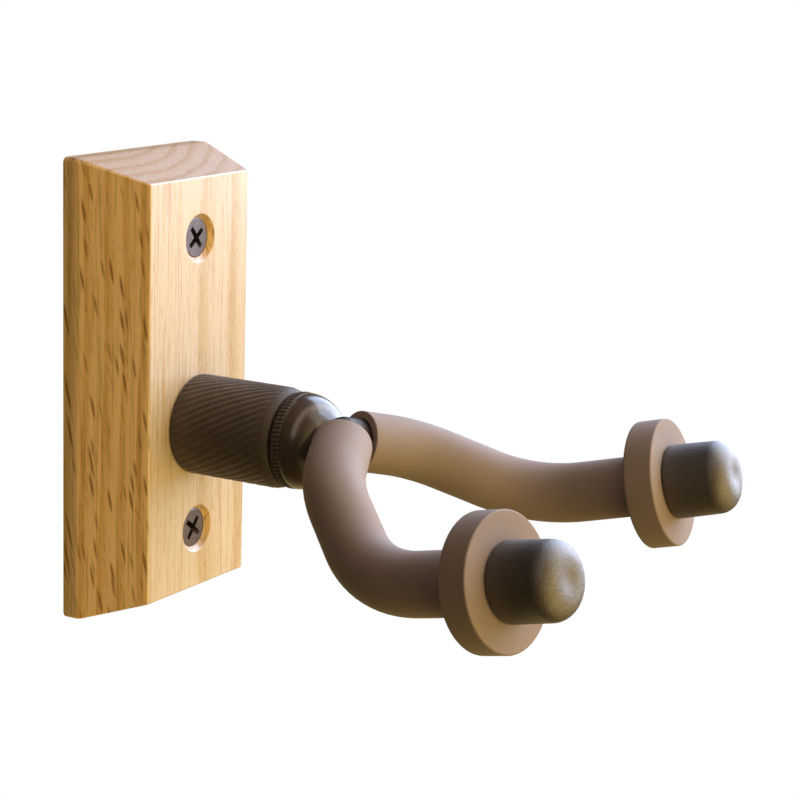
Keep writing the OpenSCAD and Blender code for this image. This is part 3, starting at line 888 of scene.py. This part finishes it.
def make_rod():
    """The bent rod: two arms that meet in a corner behind the sleeves' cut ends."""
    end, chamfer = arm_length() + DISC_T + ROD_IN_CAP, 0.6
    for left in (False, True):
        outline = [(0, -ROD_R)]
        outline += [(ROD_R * math.sin(math.radians(a)), -ROD_R * math.cos(math.radians(a)))
                    for a in range(10, 90, 10)]
        outline += [(ROD_R, s) for s in arm_stops(0, end - chamfer)]
        outline += [(ROD_R - chamfer, end), (0, end)]
        mesh = as_mesh("rod", turned(outline, 48, closed=False,
                                     place=lambda s, side=left: along_arm(side, s)))
        name = "rod_left_arm" if left else "rod_right_arm"
        piece(name, mesh, MATERIALS["rod_steel"], "rod_steel", "yoke_rod")


def make_sleeve(left):
    """Rubber sleeve pushed over an arm: knife-cut end by the head, thin lip at the disc."""
    cut_edge, lip_h, lip_out, edge = 0.1, 1.1, 0.25, 0.3
    start, end = sleeve_start(left), arm_length()
    stops = arm_stops(start + edge, end - lip_h - edge)
    outline = [(SLEEVE_R - 0.2, start), (SLEEVE_R - 0.03, start + cut_edge)]
    outline += [(SLEEVE_R, s) for s in stops]
    outline += [(SLEEVE_R - 0.12, end - lip_h), (SLEEVE_R + 0.22, end - lip_h + lip_out),
                (SLEEVE_R + lip_out, end - lip_out), (SLEEVE_R + 0.1, end)]
    outline += [(RUBBER_BORE_R, end)] + [(RUBBER_BORE_R, s) for s in reversed(stops)]
    outline += [(RUBBER_BORE_R, start + cut_edge), (RUBBER_BORE_R + 0.15, start)]
    mesh = as_mesh("sleeve", turned(outline, 64, place=lambda s: along_arm(left, s)))
    side = "left" if left else "right"
    piece(f"{side}_rubber_sleeve", mesh, MATERIALS["taupe_rubber"], "taupe_rubber",
          f"{side}_sleeve", sharp=60)


def make_disc(left):
    """Collar disc with softly rounded edges."""
    outline = rounded([(RUBBER_BORE_R, 0, 0.1), (DISC_R, 0, 0.55), (DISC_R, DISC_T, 0.4),
                       (RUBBER_BORE_R, DISC_T, 0.1)], 4)
    side = "left" if left else "right"
    mesh = as_mesh("disc", turned(outline, 128), arm_end(left))
    piece(f"{side}_rubber_disc", mesh, MATERIALS["taupe_rubber"], "taupe_rubber",
          f"{side}_disc")


def make_cap(left):
    """Moulded cap: rounded foot, slight taper, big end radius and a dimple where it was gated."""
    taper, end_round, bore_end = 0.25, 4.2, ROD_IN_CAP + 0.3
    dimple_r, dimple_depth, dimple_rows, face = 3.2, 0.34, 8, CAP_LEN - 0.02
    outline = [(0, bore_end)]
    outline += rounded([(RUBBER_BORE_R, bore_end, 0.4), (RUBBER_BORE_R, 0.2, 0),
                        (RUBBER_BORE_R + 0.2, 0, 0), (CAP_R - 0.05, 0, 0.7), (CAP_R, 1.4, 2.0),
                        (CAP_R - taper, CAP_LEN, end_round), (dimple_r, face, 0)],
                       10, closed=False)
    outline += [(dimple_r * (1 - k / dimple_rows),
                 face - dimple_depth * math.sin(math.pi / 2 * k / dimple_rows) ** 2)
                for k in range(1, dimple_rows)]
    outline += [(0, face - dimple_depth)]
    side = "left" if left else "right"
    at = arm_end(left) @ Matrix.Translation((0, 0, DISC_T))
    mesh = as_mesh("cap", turned(outline, 96, closed=False), at)
    piece(f"{side}_vinyl_cap", mesh, MATERIALS["cap_black"], "cap_black", f"{side}_cap")


# ---------------------------------------------------------------- camera, light and stage

def direction(turn, rise):
    """Unit vector from straight into the wall, turned to the right and raised by degrees."""
    turn, rise = math.radians(turn), math.radians(rise)
    return Vector((math.sin(turn) * math.cos(rise), math.cos(turn) * math.cos(rise),
                   math.sin(rise)))


def make_camera():
    """Camera of the photo, as fitted to it."""
    place, yaw, pitch, roll = (-0.40911, -0.30562, 0.10646), 60.10, -12.29, -1.79
    data = bpy.data.cameras.new("camera")
    data.sensor_width, data.lens = 36, 103.77
    camera = bpy.data.objects.new("camera", data)
    bpy.context.scene.collection.objects.link(camera)
    ahead = direction(yaw, pitch)
    right = ahead.cross(Vector((0, 0, 1))).normalized()
    level = Matrix((right, right.cross(ahead), -ahead)).transposed()
    turn = level @ Matrix.Rotation(-math.radians(roll), 3, "Z")
    camera.matrix_world = Matrix.Translation(place) @ turn.to_4x4()
    bpy.context.scene.camera = camera


def softbox(name, azimuth, elevation, distance, size, power, colour):
    """Square area light that points at the hanger; azimuth 0 is in front and 90 to the right."""
    data = bpy.data.lights.new(name, "AREA")
    data.shape, data.size, data.energy, data.color = "SQUARE", size, power, colour
    light = bpy.data.objects.new(name, data)
    bpy.context.scene.collection.objects.link(light)
    target, towards = Vector((0, -0.05, 0)), direction(180 - azimuth, elevation)
    light.location = target + towards * distance
    light.rotation_euler = (-towards).to_track_quat("-Z", "Y").to_euler()
    light.visible_camera = False


def make_lights():
    """Large cool window to the right, and a small warm light above in front."""
    softbox("key", 76, 24, 0.8, 0.9, 18.5, (0.60, 0.73, 1.0))
    softbox("fill", 30, 46, 0.8, 0.55, 1.8, (1.0, 0.95, 0.85))


def make_world():
    """White to the camera. Everything else sees a warm glow in front, another behind and to the
    right, and a narrow arch of sky overhead that gives round black parts their crescents."""
    world = bpy.data.worlds.new("studio")
    bpy.context.scene.world = world
    world.use_nodes = True
    world.node_tree.nodes.clear()
    n = Nodes(world.node_tree)
    looking = n.add("TexCoord", out="Generated")

    def along(x, y, z):
        """How far the view direction goes towards a direction, from -1 to 1."""
        return n.vector("DOT_PRODUCT", looking, Vector((x, y, z)).normalized(), out="Value")

    def scaled(colour, share):
        """Colour times a share."""
        return n.add("VectorMath", settings={"operation": "SCALE"}, Vector=colour, Scale=share)

    front = scaled((2.5, 1.85, 0.70), n.range(along(0.06, -0.98, -0.16), 0.42, 1.0))
    behind = scaled((0.8, 0.6, 0.28), n.range(along(0.50, 0.70, -0.50), 0.5, 1.0))
    arch_lean, arch_half, arch_end = -0.25, 0.07, 0.17
    off_arch = n.math("ABSOLUTE", n.math("SUBTRACT", along(0, 1, 0), arch_lean))
    arch = scaled((2.6, 2.1, 1.75), n.range(off_arch, arch_half, arch_end, 1.0, 0.0))
    overhead = scaled(arch, n.range(along(0.25, 0, 1), -0.1, 0.3))
    light = n.vector("ADD", n.vector("ADD", front, behind), overhead)

    lit, white = n.add("Background", Color=light), n.add("Background", Color=rgb(1, 1, 1))
    n.show("World", n.mix_shaders(n.add("LightPath", out="Is Camera Ray"), lit, white))


def white_stage(name, corners):
    """Four-cornered sheet that shines plain white at the camera and lights nothing. It can be
    seen from its front side only."""
    mesh = bpy.data.meshes.new(name)
    mesh.from_pydata(corners, [], [(0, 1, 2, 3)])
    material = bpy.data.materials.new(name)
    material.use_nodes = True
    material.node_tree.nodes.clear()
    n = Nodes(material.node_tree)
    n.show("Material", n.mix_shaders(n.add("NewGeometry", out="Backfacing"),
                                     n.add("Emission"), n.add("BsdfTransparent")))
    mesh.materials.append(material)
    sheet = bpy.data.objects.new(name, mesh)
    bpy.context.scene.collection.objects.link(sheet)
    sheet.visible_diffuse = sheet.visible_glossy = sheet.visible_shadow = False


def square(half):
    """Corners of a square round the origin."""
    return [(-half, -half), (half, -half), (half, half), (-half, half)]


def make_stage():
    """White floor well below the hanger, and a sheet just behind the wall plane that hides the
    wall screws' points from the front, as the wall would."""
    floor_half, floor_z, card_half, card_y = 30.0, -0.8, 0.25, 0.0003
    white_stage("floor", [(x, y, floor_z) for x, y in square(floor_half)])
    white_stage("wall_card", [(x, card_y, z) for x, z in square(card_half)])


make_camera()
make_lights()
make_world()
make_stage()
bpy.context.scene.view_settings.view_transform = "Standard"

make_block()
make_wall_screw("upper_wall_screw", "wall_screw_upper", 38)
make_wall_screw("lower_wall_screw", "wall_screw_lower", 52)
make_barrel()
make_bolt()
make_ring("flat_washer", "barrel_washer", BOLT_HOLE_R, width_of("barrel_washer") / 2, 0.2,
          "zinc_steel")
make_spring_washer()
make_set_screw()
make_bushings()
make_ring("thrust_ring", "thrust_washer", BOLT_HOLE_R, BEARING_R - PRESS_GAP, 0.15, "acetal")
make_stem()
make_head()
make_rod()
for is_left in (True, False):
    make_sleeve(is_left)
    make_disc(is_left)
    make_cap(is_left)
